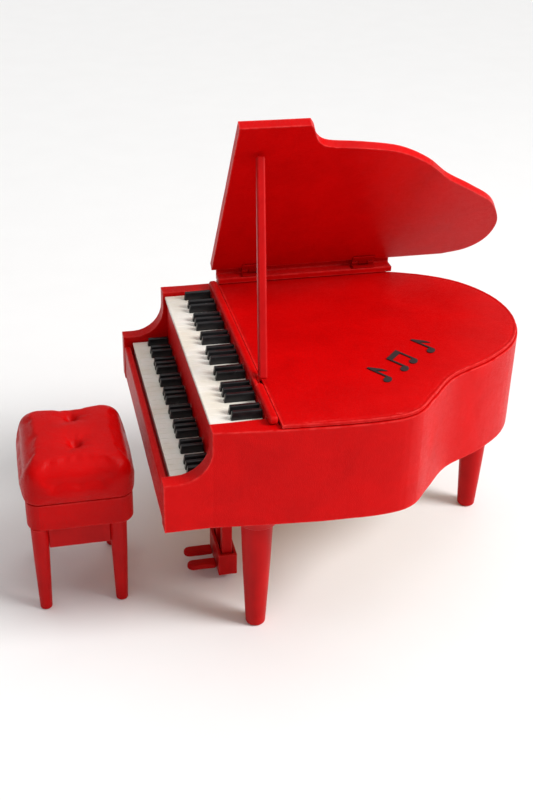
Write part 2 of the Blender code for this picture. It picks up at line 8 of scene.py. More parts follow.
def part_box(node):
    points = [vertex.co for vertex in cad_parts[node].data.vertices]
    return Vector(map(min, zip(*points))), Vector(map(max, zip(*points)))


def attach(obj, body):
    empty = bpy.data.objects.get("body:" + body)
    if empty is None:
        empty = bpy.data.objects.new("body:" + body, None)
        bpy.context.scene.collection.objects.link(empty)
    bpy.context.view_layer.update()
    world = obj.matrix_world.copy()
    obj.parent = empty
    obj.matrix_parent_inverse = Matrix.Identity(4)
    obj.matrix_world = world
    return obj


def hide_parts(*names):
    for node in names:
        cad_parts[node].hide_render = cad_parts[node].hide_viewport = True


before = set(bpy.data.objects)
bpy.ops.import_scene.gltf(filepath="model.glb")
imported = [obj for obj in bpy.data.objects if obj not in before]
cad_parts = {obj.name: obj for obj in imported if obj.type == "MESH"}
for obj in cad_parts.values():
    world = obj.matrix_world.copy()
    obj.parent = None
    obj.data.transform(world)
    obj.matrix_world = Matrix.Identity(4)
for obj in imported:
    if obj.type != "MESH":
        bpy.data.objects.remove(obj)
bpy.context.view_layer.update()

# The case: one long strip of thin board bent round the treble curve and the tail, with an arm at each
# side of the keyboards. It is wrapped in red leatherette, which is glued down and turned over the edges.
MM = 0.001
PEBBLE = 0.62 * MM
WRAP_DARK = (0.50, 0.0006, 0.0009)
WRAP_LIGHT = (0.64, 0.0012, 0.0016)
# The pale tone of the painted highlight along the edges of the leatherette and the paint.
WRAP_EDGE_HIGHLIGHT = (0.95, 0.10, 0.09)
CASE_EDGE = 1.15 * MM
CASE_WAVE = 0.11 * MM
ALONG = Vector((1.0, 0.0, 0.0))
ACROSS = Vector((0.0, 1.0, 0.0))
UPWARD = Vector((0.0, 0.0, 1.0))


def place(x, y, z):
    """A point in the piano's own frame, in millimetres: X from the arms' front, Y from the treble arm."""
    low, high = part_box("case_rim")
    return Vector((low.x + x * MM, high.y + (y - 125.0) * MM, z * MM))


def whole_copy(node):
    """The node's own shape, with its loose facets merged into whole faces."""
    shape = bmesh.new()
    shape.from_mesh(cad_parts[node].data)
    bmesh.ops.remove_doubles(shape, verts=shape.verts, dist=0.002 * MM)
    bmesh.ops.dissolve_limit(
        shape, angle_limit=math.radians(0.5), verts=shape.verts, edges=shape.edges
    )
    return shape


def round_edges(shape, width, steps=3, least=35.0):
    """Rounds every edge that turns by more than the least angle."""
    sharp = [edge for edge in shape.edges
             if edge.is_manifold and edge.calc_face_angle(0.0) > math.radians(least)]
    bmesh.ops.bevel(
        shape, geom=sharp, offset=width, offset_type="OFFSET", segments=steps, profile=0.5,
        affect="EDGES", clamp_overlap=True,
    )


def cut_across(shape, direction, step):
    """Divides the faces by planes across a direction, so that they can be bent a little."""
    reach = [vert.co.dot(direction) for vert in shape.verts]
    count = int((max(reach) - min(reach)) / step)
    waiting = [(0, count, list(shape.faces))]
    while waiting:
        first, last, faces = waiting.pop()
        middle = (first + last + 1) // 2
        if middle <= first or middle > last or middle >= count or not faces:
            continue
        at = min(reach) + middle * step
        edges = {edge for face in faces for edge in face.edges}
        verts = {vert for face in faces for vert in face.verts}
        cut = bmesh.ops.bisect_plane(
            shape, geom=list(verts) + list(edges) + faces, dist=1e-7,
            plane_co=direction * at, plane_no=direction,
        )
        faces = [part for part in cut["geom"] if isinstance(part, bmesh.types.BMFace)]
        below = [face for face in faces if face.calc_center_median().dot(direction) < at]
        above = [face for face in faces if face.calc_center_median().dot(direction) >= at]
        waiting.append((first, middle - 1, below))
        waiting.append((middle, last, above))


def ripple(shape, amount, length, seed):
    """Moves the surface in and out by a soft noise, as a glued covering lies."""
    shape.normal_update()
    start = Vector((seed, seed * 0.37, -seed))
    for vert in shape.verts:
        level = noise.noise(vert.co / length + start)
        level += 0.5 * noise.noise(vert.co * 2.3 / length - start)
        vert.co += vert.normal * amount * level


def finish_piece(name, shape, material, slot, body, *nodes):
    """A smooth-shaded piece that rides on a body, has a finish and stands for the named nodes."""
    mesh = bpy.data.meshes.new(name)
    shape.to_mesh(mesh)
    shape.free()
    mesh.shade_smooth()
    mesh.set_sharp_from_angle(angle=math.radians(42.0))
    mesh.materials.append(material)
    piece = bpy.data.objects.new(name, mesh)
    bpy.context.scene.collection.objects.link(piece)
    even = piece.modifiers.new("even_faces", "WEIGHTED_NORMAL")
    even.keep_sharp = True
    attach(piece, body)
    if nodes:
        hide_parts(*nodes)
    return piece


def add_node(tree, kind, settings=None, values=None, **links):
    """A node with its settings, its sockets' values by name, and its links from other sockets by name."""
    node = tree.nodes.new(kind)
    for key, value in (settings or {}).items():
        setattr(node, key, value)
    for key, value in (values or {}).items():
        node.inputs[key].default_value = value
    for key, source in links.items():
        tree.links.new(source, node.inputs[key.replace("_", " ")])
    return node


def calculate(tree, operation, *terms):
    """The result of a Math node. Each term is a number or another node's output."""
    node = tree.nodes.new("ShaderNodeMath")
    node.operation = operation
    for socket, term in zip(node.inputs, terms):
        if isinstance(term, (int, float)):
            socket.default_value = term
        else:
            tree.links.new(term, socket)
    return node.outputs[0]


def two_tone(tree, level, dark, light, start=0.0, end=1.0):
    """A colour that runs from dark to light as the level goes from start to end."""
    ramp = add_node(tree, "ShaderNodeValToRGB", Fac=level)
    for stop, at, tone in zip(ramp.color_ramp.elements, (start, end), (dark, light)):
        stop.position = at
        stop.color = (*tone, 1.0)
    return ramp.outputs["Color"]


def feed(shader, **links):
    """Links outputs to the shader's sockets by name."""
    for key, source in links.items():
        shader.id_data.links.new(source, shader.inputs[key.replace("_", " ")])


def new_material(name, roughness, coat=0.0, coat_roughness=0.3, specular=0.5):
    """A material with its Principled shader, and the tree that feeds it."""
    material = bpy.data.materials.new(name)
    material.use_nodes = True
    tree = material.node_tree
    shader = tree.nodes["Principled BSDF"]
    shader.inputs["Roughness"].default_value = roughness
    shader.inputs["Coat Weight"].default_value = coat
    shader.inputs["Coat Roughness"].default_value = coat_roughness
    shader.inputs["Specular IOR Level"].default_value = specular
    return material, tree, shader


def make_leather_grain():
    """A group for every leatherette: the height of its pebbles and creases, and a slow mottle."""
    grain = bpy.data.node_groups.new("leather_grain", "ShaderNodeTree")
    sockets = grain.interface
    sockets.new_socket("Pebble Size", in_out="INPUT", socket_type="NodeSocketFloat")
    sockets.new_socket("Crease Size", in_out="INPUT", socket_type="NodeSocketFloat")
    sockets.new_socket("Height", in_out="OUTPUT", socket_type="NodeSocketFloat")
    sockets.new_socket("Mottle", in_out="OUTPUT", socket_type="NodeSocketFloat")
    given = grain.nodes.new("NodeGroupInput")
    where = grain.nodes.new("ShaderNodeTexCoord").outputs["Object"]
    pebble_scale = calculate(grain, "DIVIDE", 1.0, given.outputs["Pebble Size"])
    crease_scale = calculate(grain, "DIVIDE", 1.0, given.outputs["Crease Size"])
    pebbles = add_node(
        grain, "ShaderNodeTexVoronoi", {"feature": "DISTANCE_TO_EDGE"}, {"Randomness": 1.0},
        Vector=where, Scale=pebble_scale,
    )
    domes = add_node(
        grain, "ShaderNodeMapRange", {"interpolation_type": "SMOOTHSTEP"}, {"From Max": 0.28},
        Value=pebbles.outputs["Distance"],
    )
    creases = add_node(
        grain, "ShaderNodeTexNoise", None, {"Detail": 5.0, "Roughness": 0.62, "Distortion": 0.6},
        Vector=where, Scale=crease_scale,
    )
    height = calculate(grain, "MULTIPLY_ADD", domes.outputs[0], 0.45, creases.outputs["Fac"])
    mottle = add_node(
        grain, "ShaderNodeTexNoise", None,
        {"Scale": 52.0, "Detail": 6.0, "Roughness": 0.58, "Distortion": 0.5},
        Vector=where,
    )
    result = grain.nodes.new("NodeGroupOutput")
    grain.links.new(height, result.inputs["Height"])
    grain.links.new(mottle.outputs["Fac"], result.inputs["Mottle"])
    return grain


leather_grain = make_leather_grain()


def make_painted_edge_highlight():
    """A group for every finish with soft edges: a mask along the edges, broken in patches, where a painted
    highlight lightens the colour.
    """
    rub = bpy.data.node_groups.new("painted_edge_highlight", "ShaderNodeTree")
    sockets = rub.interface
    sockets.new_socket("Width", in_out="INPUT", socket_type="NodeSocketFloat")
    sockets.new_socket("Amount", in_out="INPUT", socket_type="NodeSocketFloat")
    sockets.new_socket("Mask", in_out="OUTPUT", socket_type="NodeSocketFloat")
    given = rub.nodes.new("NodeGroupInput").outputs
    # The mask is where the rounded normal turns away from the true one, near the edges: it places a painted
    # highlight.
    rounded = add_node(rub, "ShaderNodeBevel", {"samples": 4}, Radius=given["Width"])
    true_normal = rub.nodes.new("ShaderNodeNewGeometry").outputs["Normal"]
    match = add_node(rub, "ShaderNodeVectorMath", {"operation": "DOT_PRODUCT"})
    rub.links.new(rounded.outputs[0], match.inputs[0])
    rub.links.new(true_normal, match.inputs[1])
    near = add_node(
        rub, "ShaderNodeMapRange", None, {"From Min": 0.995, "From Max": 0.90},
        Value=match.outputs["Value"],
    )
    where = rub.nodes.new("ShaderNodeTexCoord").outputs["Object"]
    broken = add_node(rub, "ShaderNodeTexNoise", None, {"Scale": 420.0, "Detail": 4.0}, Vector=where)
    patchy = add_node(
        rub, "ShaderNodeMapRange", None, {"From Min": 0.3, "From Max": 0.6},
        Value=broken.outputs["Fac"],
    )
    lit_edge_mask = calculate(rub, "MULTIPLY", near.outputs[0], patchy.outputs[0])
    scaled = calculate(rub, "MULTIPLY", lit_edge_mask, given["Amount"])
    result = rub.nodes.new("NodeGroupOutput")
    rub.links.new(scaled, result.inputs["Mask"])
    return rub


painted_edge_highlight = make_painted_edge_highlight()


def paint_edge_highlight(tree, colour, width, amount, highlight_tone):
    """The colour, with a painted highlight along the edges."""
    edge_lit = tree.nodes.new("ShaderNodeGroup")
    edge_lit.node_tree = painted_edge_highlight
    edge_lit.inputs["Width"].default_value = width
    edge_lit.inputs["Amount"].default_value = amount
    mixed = tree.nodes.new("ShaderNodeMix")
    mixed.data_type = "RGBA"
    tree.links.new(edge_lit.outputs["Mask"], mixed.inputs[0])
    tree.links.new(colour, mixed.inputs[6])
    mixed.inputs[7].default_value = (*highlight_tone, 1.0)
    return mixed.outputs[2]


def leatherette(name, dark, light, shine, pebble, crease, depth):
    """Satin leatherette: mottled colour, rougher where it is darker, with pebbles, fine creases and a
    painted highlight along the edges.
    """
    material, tree, shader = new_material(name, 0.42, specular=0.08)
    grain = tree.nodes.new("ShaderNodeGroup")
    grain.node_tree = leather_grain
    grain.inputs["Pebble Size"].default_value = pebble
    grain.inputs["Crease Size"].default_value = crease
    speckled = calculate(tree, "MULTIPLY_ADD", grain.outputs["Height"], 0.34, grain.outputs["Mottle"])
    colour = two_tone(tree, speckled, dark, light, 0.42, 0.98)
    rough = add_node(
        tree, "ShaderNodeMapRange", None,
        {"From Min": 0.3, "From Max": 0.9, "To Min": shine[1], "To Max": shine[0]},
        Value=grain.outputs["Height"],
    )
    bump = add_node(
        tree, "ShaderNodeBump", None, {"Strength": 0.75, "Distance": depth},
        Height=grain.outputs["Height"],
    )
    # A painted highlight: the colour is lightened towards a pale pink along the edges, broken in patches.
    edge_lit = paint_edge_highlight(tree, colour, 1.0 * MM, 0.55, WRAP_EDGE_HIGHLIGHT)
    feed(shader, Base_Color=edge_lit, Roughness=rough.outputs[0], Normal=bump.outputs["Normal"])
    return material


red_wrap = leatherette(
    "red_leatherette", WRAP_DARK, WRAP_LIGHT, shine=(0.32, 0.50),
    pebble=PEBBLE, crease=2.4 * MM, depth=0.10 * MM,
)
rim = whole_copy("case_rim")
round_edges(rim, CASE_EDGE)
cut_across(rim, UPWARD, step=2.5 * MM)
cut_across(rim, ALONG, step=3.0 * MM)
ripple(rim, amount=CASE_WAVE, length=15.0 * MM, seed=3.1)
finish_piece("case_wrap", rim, red_wrap, "red_leatherette", "piano", "case_rim")

# The bottom board and the two braces inside the case: plain sawn pine, glued in before the outside is
# wrapped. Only the bottom board can be seen, from below.
PINE_PALE = (0.62, 0.43, 0.24)
PINE_DARK = (0.40, 0.24, 0.12)
pine, tree, shader = new_material("pine_board", 0.68)
where = tree.nodes.new("ShaderNodeTexCoord").outputs["Object"]
along = add_node(tree, "ShaderNodeMapping", None, {"Scale": (14.0, 240.0, 240.0)}, Vector=where)
rings = add_node(
    tree, "ShaderNodeTexNoise", None,
    {"Scale": 1.0, "Detail": 6.0, "Roughness": 0.65, "Distortion": 0.8},
    Vector=along.outputs[0],
)
colour = two_tone(tree, rings.outputs["Fac"], PINE_DARK, PINE_PALE, 0.35, 0.6)
fibres = add_node(
    tree, "ShaderNodeBump", None, {"Strength": 0.4, "Distance": 0.08 * MM},
    Height=rings.outputs["Fac"],
)
feed(shader, Base_Color=colour, Normal=fibres.outputs["Normal"])
for node in ("bottom_board", "front_brace", "back_brace"):
    board = whole_copy(node)
    round_edges(board, 0.25 * MM, steps=2)
    finish_piece(node + "_pine", board, pine, "pine_board", "piano", node)

# The top panel: a thin board cut to the case's outline, a little inside it, wrapped like the rest and
# glued on top. The covering is drawn over its edge into a bead with a pressed seam inside it.
PANEL_EDGE = 0.45 * MM
PANEL_WAVE = 0.07 * MM
BEAD_WIDTH = 0.75 * MM
SEAM_WIDTH = 0.75 * MM
SEAM_DEPTH = 0.28 * MM
panel = whole_copy("top_panel")
round_edges(panel, PANEL_EDGE)
face = max(panel.faces, key=lambda flat: flat.calc_area() * flat.normal.z)
for width, rise in ((BEAD_WIDTH, 0.0), (SEAM_WIDTH / 2, -SEAM_DEPTH), (SEAM_WIDTH / 2, SEAM_DEPTH)):
    bmesh.ops.inset_individual(panel, faces=[face], thickness=width, depth=rise)
cut_across(panel, ALONG, step=2.2 * MM)
cut_across(panel, ACROSS, step=2.2 * MM)
ripple(panel, amount=PANEL_WAVE, length=17.0 * MM, seed=7.7)
finish_piece("top_panel_wrap", panel, red_wrap, "red_leatherette", "piano", "top_panel")

# The key slip in front of the lower keys and the riser board behind them: thin strips wrapped in the same
# leatherette and glued between the arms.
for node, edge in (("key_slip", 0.55 * MM), ("riser_board", 0.4 * MM)):
    strip = whole_copy(node)
    round_edges(strip, edge)
    cut_across(strip, ACROSS, step=4.0 * MM)
    ripple(strip, amount=0.05 * MM, length=12.0 * MM, seed=5.3)
    finish_piece(node + "_wrap", strip, red_wrap, "red_leatherette", "piano", node)

# The white keys of both keyboards: one ivory plastic strip each, scored into keys whose caps have soft
# edges and a thin lip that stands over the front.
IVORY_PALE = (0.88, 0.85, 0.78)
IVORY_WARM = (0.80, 0.74, 0.62)
CAP_THICK = 1.1 * MM
CAP_GAP = 0.09 * MM
LIP = 0.45 * MM
STRIP_LAP = 0.2 * MM
STRIP_EDGE = 0.2 * MM
CAP_EDGE = 0.22 * MM
CAP_DROP = 0.05 * MM
KEYS = {"lower": 30, "upper": 26}
NO_OCTAVE = 1000


def block(low, high, edge=0.0, steps=3):
    """A box between two corners, with rounded edges."""
    shape = bmesh.new()
    size = Vector(high) - Vector(low)
    middle = (Vector(high) + Vector(low)) / 2
    whole = Matrix.Translation(middle) @ Matrix.Diagonal((*size, 1.0))
    bmesh.ops.create_cube(shape, size=1.0, matrix=whole)
    if edge:
        round_edges(shape, edge, steps)
    return shape


def make_key_row():
    """A tree that sets copies of one key along a keyboard, and leaves out the places with no black key."""
    row = bpy.data.node_groups.new("key_row", "GeometryNodeTree")
    sockets = row.interface
    sockets.new_socket("Geometry", in_out="INPUT", socket_type="NodeSocketGeometry")
    sockets.new_socket("Count", in_out="INPUT", socket_type="NodeSocketInt")
    sockets.new_socket("Pitch", in_out="INPUT", socket_type="NodeSocketFloat")
    sockets.new_socket("Octave", in_out="INPUT", socket_type="NodeSocketInt")
    sockets.new_socket("First Gap", in_out="INPUT", socket_type="NodeSocketInt")
    sockets.new_socket("Unevenness", in_out="INPUT", socket_type="NodeSocketFloat")
    sockets.new_socket("Finish", in_out="INPUT", socket_type="NodeSocketMaterial")
    sockets.new_socket("Geometry", in_out="OUTPUT", socket_type="NodeSocketGeometry")
    given = row.nodes.new("NodeGroupInput").outputs
    offset = add_node(row, "ShaderNodeCombineXYZ", Y=given["Pitch"])
    line = add_node(row, "GeometryNodeMeshLine", Count=given["Count"], Offset=offset.outputs[0])
    index = row.nodes.new("GeometryNodeInputIndex").outputs[0]
    number = calculate(row, "ADD", index, 1.0)
    octave_place = calculate(row, "MODULO", number, given["Octave"])
    at_first = calculate(row, "COMPARE", octave_place, given["First Gap"], 0.1)
    at_last = calculate(row, "COMPARE", octave_place, 0.0, 0.1)
    kept = calculate(row, "SUBTRACT", 1.0, calculate(row, "MAXIMUM", at_first, at_last))
    copies = add_node(
        row, "GeometryNodeInstanceOnPoints",
        Points=line.outputs[0], Selection=kept, Instance=given["Geometry"],
    )
    drop = add_node(row, "FunctionNodeRandomValue", {"data_type": "FLOAT"}, {3: 0.0, "Seed": 11})
    row.links.new(given["Unevenness"], drop.inputs[2])
    sink = add_node(row, "ShaderNodeCombineXYZ", Z=drop.outputs[1])
    settled = add_node(
        row, "GeometryNodeTranslateInstances", Instances=copies.outputs[0], Translation=sink.outputs[0]
    )
    real = add_node(row, "GeometryNodeRealizeInstances", Geometry=settled.outputs[0])
    painted = add_node(
        row, "GeometryNodeSetMaterial", Geometry=real.outputs[0], Material=given["Finish"]
    )
    result = row.nodes.new("NodeGroupOutput")
    row.links.new(painted.outputs[0], result.inputs["Geometry"])
    return row


key_row = make_key_row()


def row_of_keys(name, shape, values, slot, *nodes):
    """Grows one key into its row, and keeps the result as a plain mesh."""
    mesh = bpy.data.meshes.new(name)
    shape.to_mesh(mesh)
    shape.free()
    mesh.shade_smooth()
    piece = bpy.data.objects.new(name, mesh)
    bpy.context.scene.collection.objects.link(piece)
    grow = piece.modifiers.new("row", "NODES")
    grow.node_group = key_row
    names = {
        item.name: item.identifier
        for item in key_row.interface.items_tree if item.in_out == "INPUT"
    }
    for key, value in values.items():
        grow[names[key]] = value
    graph = bpy.context.evaluated_depsgraph_get()
    piece.data = bpy.data.meshes.new_from_object(piece.evaluated_get(graph))
    piece.modifiers.clear()
    piece.data.name = name
    even = piece.modifiers.new("even_faces", "WEIGHTED_NORMAL")
    even.keep_sharp = True
    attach(piece, "piano")
    if nodes:
        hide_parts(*nodes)
    return piece


ivory, tree, shader = new_material("ivory_plastic", 0.32, coat=0.15, coat_roughness=0.2)
where = tree.nodes.new("ShaderNodeTexCoord").outputs["Object"]
tint = add_node(
    tree, "ShaderNodeTexNoise", None, {"Scale": 90.0, "Detail": 5.0, "Roughness": 0.6}, Vector=where
)
colour = two_tone(tree, tint.outputs["Fac"], IVORY_WARM, IVORY_PALE, 0.3, 0.6)
scratches = add_node(
    tree, "ShaderNodeMapping", None, {"Scale": (120.0, 2600.0, 400.0)}, Vector=where
)
lines = add_node(
    tree, "ShaderNodeTexNoise", None, {"Scale": 1.0, "Detail": 3.0}, Vector=scratches.outputs[0]
)
rough = add_node(
    tree, "ShaderNodeMapRange", None, {"To Min": 0.24, "To Max": 0.44}, Value=lines.outputs["Fac"]
)
relief = add_node(
    tree, "ShaderNodeBump", None, {"Strength": 0.2, "Distance": 0.02 * MM},
    Height=lines.outputs["Fac"],
)
feed(shader, Base_Color=colour, Roughness=rough.outputs[0], Normal=relief.outputs["Normal"])

key_pitch = {}
for level, count in KEYS.items():
    node = "white_keys_" + level
    low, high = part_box(node)
    pitch = (high.y - low.y) / count
    key_pitch[level] = pitch
    strip = block(
        low + Vector((LIP, 0.0, 0.0)), (high.x, high.y, high.z - CAP_THICK + STRIP_LAP), STRIP_EDGE
    )
    finish_piece(node + "_strip", strip, ivory, "ivory_plastic", "piano")
    cap = block(
        (low.x, low.y + CAP_GAP / 2, high.z - CAP_THICK),
        (high.x, low.y + pitch - CAP_GAP / 2, high.z), CAP_EDGE,
    )
    values = {"Count": count, "Pitch": pitch, "Octave": NO_OCTAVE, "First Gap": NO_OCTAVE + 1,
              "Unevenness": -CAP_DROP, "Finish": ivory}
    row_of_keys(node + "_caps", cap, values, "ivory_plastic", node)

# The black keys: glossy moulded sharps in twos and threes, narrower at the top than at the foot, with
# rounded front ends. They are glued to the white strips at the back.
SHARP_TAPER = 0.32 * MM
SHARP_SLOPE = 0.5 * MM
SHARP_EDGE = 0.42 * MM
SHARP_HALF = 1.25 * MM
SHARP_SUNK = 0.1 * MM
SHARP_DROP = 0.04 * MM
SHARP_OCTAVE = 7
black, tree, shader = new_material("black_lacquer", 0.2, specular=0.28)
where = tree.nodes.new("ShaderNodeTexCoord").outputs["Object"]
smudge = add_node(
    tree, "ShaderNodeTexNoise", None, {"Scale": 260.0, "Detail": 4.0, "Distortion": 1.0},
    Vector=where,
)
rough = add_node(
    tree, "ShaderNodeMapRange", None, {"To Min": 0.12, "To Max": 0.34}, Value=smudge.outputs["Fac"]
)
colour = two_tone(tree, smudge.outputs["Fac"], (0.006, 0.006, 0.007), (0.020, 0.019, 0.020))
feed(shader, Roughness=rough.outputs[0], Base_Color=colour)

for level, first_gap in (("lower", 4), ("upper", 3)):
    node = "black_keys_" + level
    low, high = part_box(node)
    white_low, white_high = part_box("white_keys_" + level)
    middle = white_low.y + key_pitch[level]
    sharp = block(
        (low.x, middle - SHARP_HALF, white_high.z - SHARP_SUNK), (high.x, middle + SHARP_HALF, high.z)
    )
    for vert in sharp.verts:
        if vert.co.z > white_high.z:
            vert.co.y = middle + (vert.co.y - middle) * (1.0 - SHARP_TAPER / SHARP_HALF)
            if vert.co.x < low.x + MM:
                vert.co.x += SHARP_SLOPE
    round_edges(sharp, SHARP_EDGE, steps=4, least=30.0)
    values = {"Count": KEYS[level] - 1, "Pitch": key_pitch[level], "Octave": SHARP_OCTAVE,
              "First Gap": first_gap, "Unevenness": -SHARP_DROP, "Finish": black}
    row_of_keys(node + "_sharps", sharp, values, "black_lacquer", node)

# The belly rail behind the upper keys: a square strip with a rounded cap that runs out over both arms.
# The cap is cut away behind, where the prop's foot turns.
RAIL_EDGE = 1.15 * MM
NOTCH_Y = (27.0, 33.0)
NOTCH_MARGIN = 2.0
CAP_ENDS = (1.0, 120.5)
CAP_FOOT = 94.9
WALL_TOP = 95.5 * MM
WALL_IN = (6.0 * MM, 2.0 * MM)
NECK = 1.5 * MM
rail_low, rail_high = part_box("belly_rail")
wall = block(
    (rail_low.x, rail_low.y + WALL_IN[0], rail_low.z),
    (rail_high.x, rail_high.y - WALL_IN[1], WALL_TOP), 0.3 * MM,
)
finish_piece("belly_rail_wall", wall, red_wrap, "red_leatherette", "piano")
lengths = (
    (rail_low.x, rail_high.x, CAP_ENDS[0], NOTCH_Y[0]),
    (rail_low.x, rail_high.x, NOTCH_Y[1], CAP_ENDS[1]),
    (rail_low.x, rail_low.x + NECK, NOTCH_Y[0] - NOTCH_MARGIN, NOTCH_Y[1] + NOTCH_MARGIN),
)
cap = bmesh.new()
for x_low, x_high, y_low, y_high in lengths:
    corner_low = Vector((x_low, place(0, y_low, 0).y, CAP_FOOT * MM))
    corner_high = Vector((x_high, place(0, y_high, 0).y, rail_high.z))
    bar = block(corner_low, corner_high, min(RAIL_EDGE, (x_high - x_low) * 0.42), 4)
    bar_mesh = bpy.data.meshes.new("bar")
    bar.to_mesh(bar_mesh)
    bar.free()
    cap.from_mesh(bar_mesh)
cut_across(cap, ACROSS, step=3.0 * MM)
ripple(cap, amount=0.05 * MM, length=9.0 * MM, seed=2.2)
finish_piece("belly_rail_cap", cap, red_wrap, "red_leatherette", "piano", "belly_rail")

# The hinge rail along the spine, and two small butt hinges with their pins: stamped steel, painted red
# with the case, so that the line of the hinge reads as one red roll.
STEEL_PAINT = (0.44, 0.0010, 0.0014)
STEEL_BARE = (0.55, 0.50, 0.46)
RAIL_CORNER = 0.35 * MM
steel, tree, shader = new_material("red_painted_steel", 0.4, specular=0.12)
where = tree.nodes.new("ShaderNodeTexCoord").outputs["Object"]
spots = add_node(tree, "ShaderNodeTexNoise", None, {"Scale": 900.0, "Detail": 4.0}, Vector=where)
bare = add_node(
    tree, "ShaderNodeMapRange", None, {"From Min": 0.80, "From Max": 0.84}, Value=spots.outputs["Fac"]
)
colour = add_node(tree, "ShaderNodeMix", {"data_type": "RGBA"})
colour.inputs[6].default_value = (*STEEL_PAINT, 1.0)
colour.inputs[7].default_value = (*STEEL_BARE, 1.0)
tree.links.new(bare.outputs[0], colour.inputs[0])
rough = add_node(
    tree, "ShaderNodeMapRange", None, {"To Min": 0.3, "To Max": 0.5}, Value=spots.outputs["Fac"]
)
feed(shader, Base_Color=colour.outputs[2], Metallic=bare.outputs[0], Roughness=rough.outputs[0])
spine_rail = whole_copy("hinge_rail")
round_edges(spine_rail, RAIL_CORNER, steps=2, least=30.0)
cut_across(spine_rail, ALONG, step=3.0 * MM)
ripple(spine_rail, amount=0.05 * MM, length=9.0 * MM, seed=4.4)
finish_piece("hinge_rail_wrap", spine_rail, red_wrap, "red_leatherette", "piano", "hinge_rail")
for number in (0, 1):
    for node, body in (
        (f"rail_hinge_leaf_{number}", "piano"),
        (f"hinge_pin_{number}", "piano"),
        (f"lid_hinge_leaf_{number}", "lid"),
    ):
        finish_piece(node + "_painted", whole_copy(node), steel, "red_painted_steel", body, node)
finish_piece("prop_pin_painted", whole_copy("prop_pin"), steel, "red_painted_steel", "piano", "prop_pin")

# The lid: one board cut to its own outline, with a square front corner, a step at the treble and a
# rounded tail. It is wrapped on both faces and turns on the two hinges at the spine.
LID_EDGE = 0.3 * MM
LID_WAVE = 0.09 * MM
LID_OPEN = math.radians(54.0)
up_lid = Vector((0.0, -math.cos(LID_OPEN), math.sin(LID_OPEN)))
lid = whole_copy("lid")
round_edges(lid, LID_EDGE, steps=2, least=30.0)
cut_across(lid, ALONG, step=2.6 * MM)
cut_across(lid, up_lid, step=2.6 * MM)
ripple(lid, amount=LID_WAVE, length=19.0 * MM, seed=9.4)
finish_piece("lid_wrap", lid, red_wrap, "red_leatherette", "lid", "lid")

# The prop, legs, lyre and stool frame are wood in a smooth red paint, brushed on lengthwise.
# The prop is a square stick with soft corners and a blunt tip, on a pin at its foot.
PAINT_DARK = (0.40, 0.0012, 0.0018)
PAINT_LIGHT = (0.54, 0.0022, 0.0028)
PROP_UP = Vector((0.0852, 0.4997, 0.8620)).normalized()
PROP_FOOT = (42.2, 30.0, 98.8)
PROP_LENGTH = 81.6 * MM
PROP_BELOW = 1.1 * MM
PROP_HALF = 1.65 * MM
PROP_CORNER = 0.8 * MM
paint, tree, shader = new_material("red_painted_wood", 0.38, specular=0.11)
where = tree.nodes.new("ShaderNodeTexCoord").outputs["Object"]
brushed = add_node(tree, "ShaderNodeMapping", None, {"Scale": (700.0, 700.0, 60.0)}, Vector=where)
strokes = add_node(
    tree, "ShaderNodeTexNoise", None, {"Scale": 1.0, "Detail": 4.0}, Vector=brushed.outputs[0]
)
cloud = add_node(tree, "ShaderNodeTexNoise", None, {"Scale": 70.0, "Detail": 5.0}, Vector=where)
shade = calculate(tree, "MULTIPLY_ADD", strokes.outputs["Fac"], 0.3, cloud.outputs["Fac"])
colour = two_tone(tree, shade, PAINT_DARK, PAINT_LIGHT, 0.4, 0.85)
rough = add_node(
    tree, "ShaderNodeMapRange", None, {"To Min": 0.3, "To Max": 0.48}, Value=strokes.outputs["Fac"]
)
relief = add_node(tree, "ShaderNodeBump", None, {"Strength": 0.3, "Distance": 0.03 * MM}, Height=shade)
# A painted highlight: the paint's colour is lightened towards a pale pink along the edges, broken in
# patches.
edge_lit = paint_edge_highlight(tree, colour, 0.7 * MM, 0.45, WRAP_EDGE_HIGHLIGHT)
feed(shader, Base_Color=edge_lit, Roughness=rough.outputs[0], Normal=relief.outputs["Normal"])

side = (ALONG - PROP_UP * PROP_UP.x).normalized()
turn = Matrix((side, PROP_UP.cross(side), PROP_UP)).transposed().to_4x4()
stick = block(
    (-PROP_HALF, -PROP_HALF, -PROP_BELOW), (PROP_HALF, PROP_HALF, PROP_LENGTH), PROP_CORNER, 5
)
stick.transform(Matrix.Translation(place(*PROP_FOOT)) @ turn)
cut_across(stick, PROP_UP, step=4.0 * MM)
ripple(stick, amount=0.04 * MM, length=14.0 * MM, seed=6.1)
finish_piece("prop_stick", stick, paint, "red_painted_wood", "prop", "lid_prop")

# The beds under both keyboards: plain wooden boards glued between the arms, in the same paint. The lower
# one shows as a thin line behind the key slip.
for node in ("lower_key_bed", "upper_key_bed"):
    bed = whole_copy(node)
    round_edges(bed, 0.25 * MM, steps=2)
    finish_piece(node + "_painted", bed, paint, "red_painted_wood", "piano", node)

# The piano's three legs: turned wood, each tapering to a rounded foot. Each one is glued and pegged under
# a bevelled collar on the case's underside.
LEG_SIDES = 64
LEG_FOOT = 3.9 * MM
COLLAR_BEVEL = 1.2 * MM


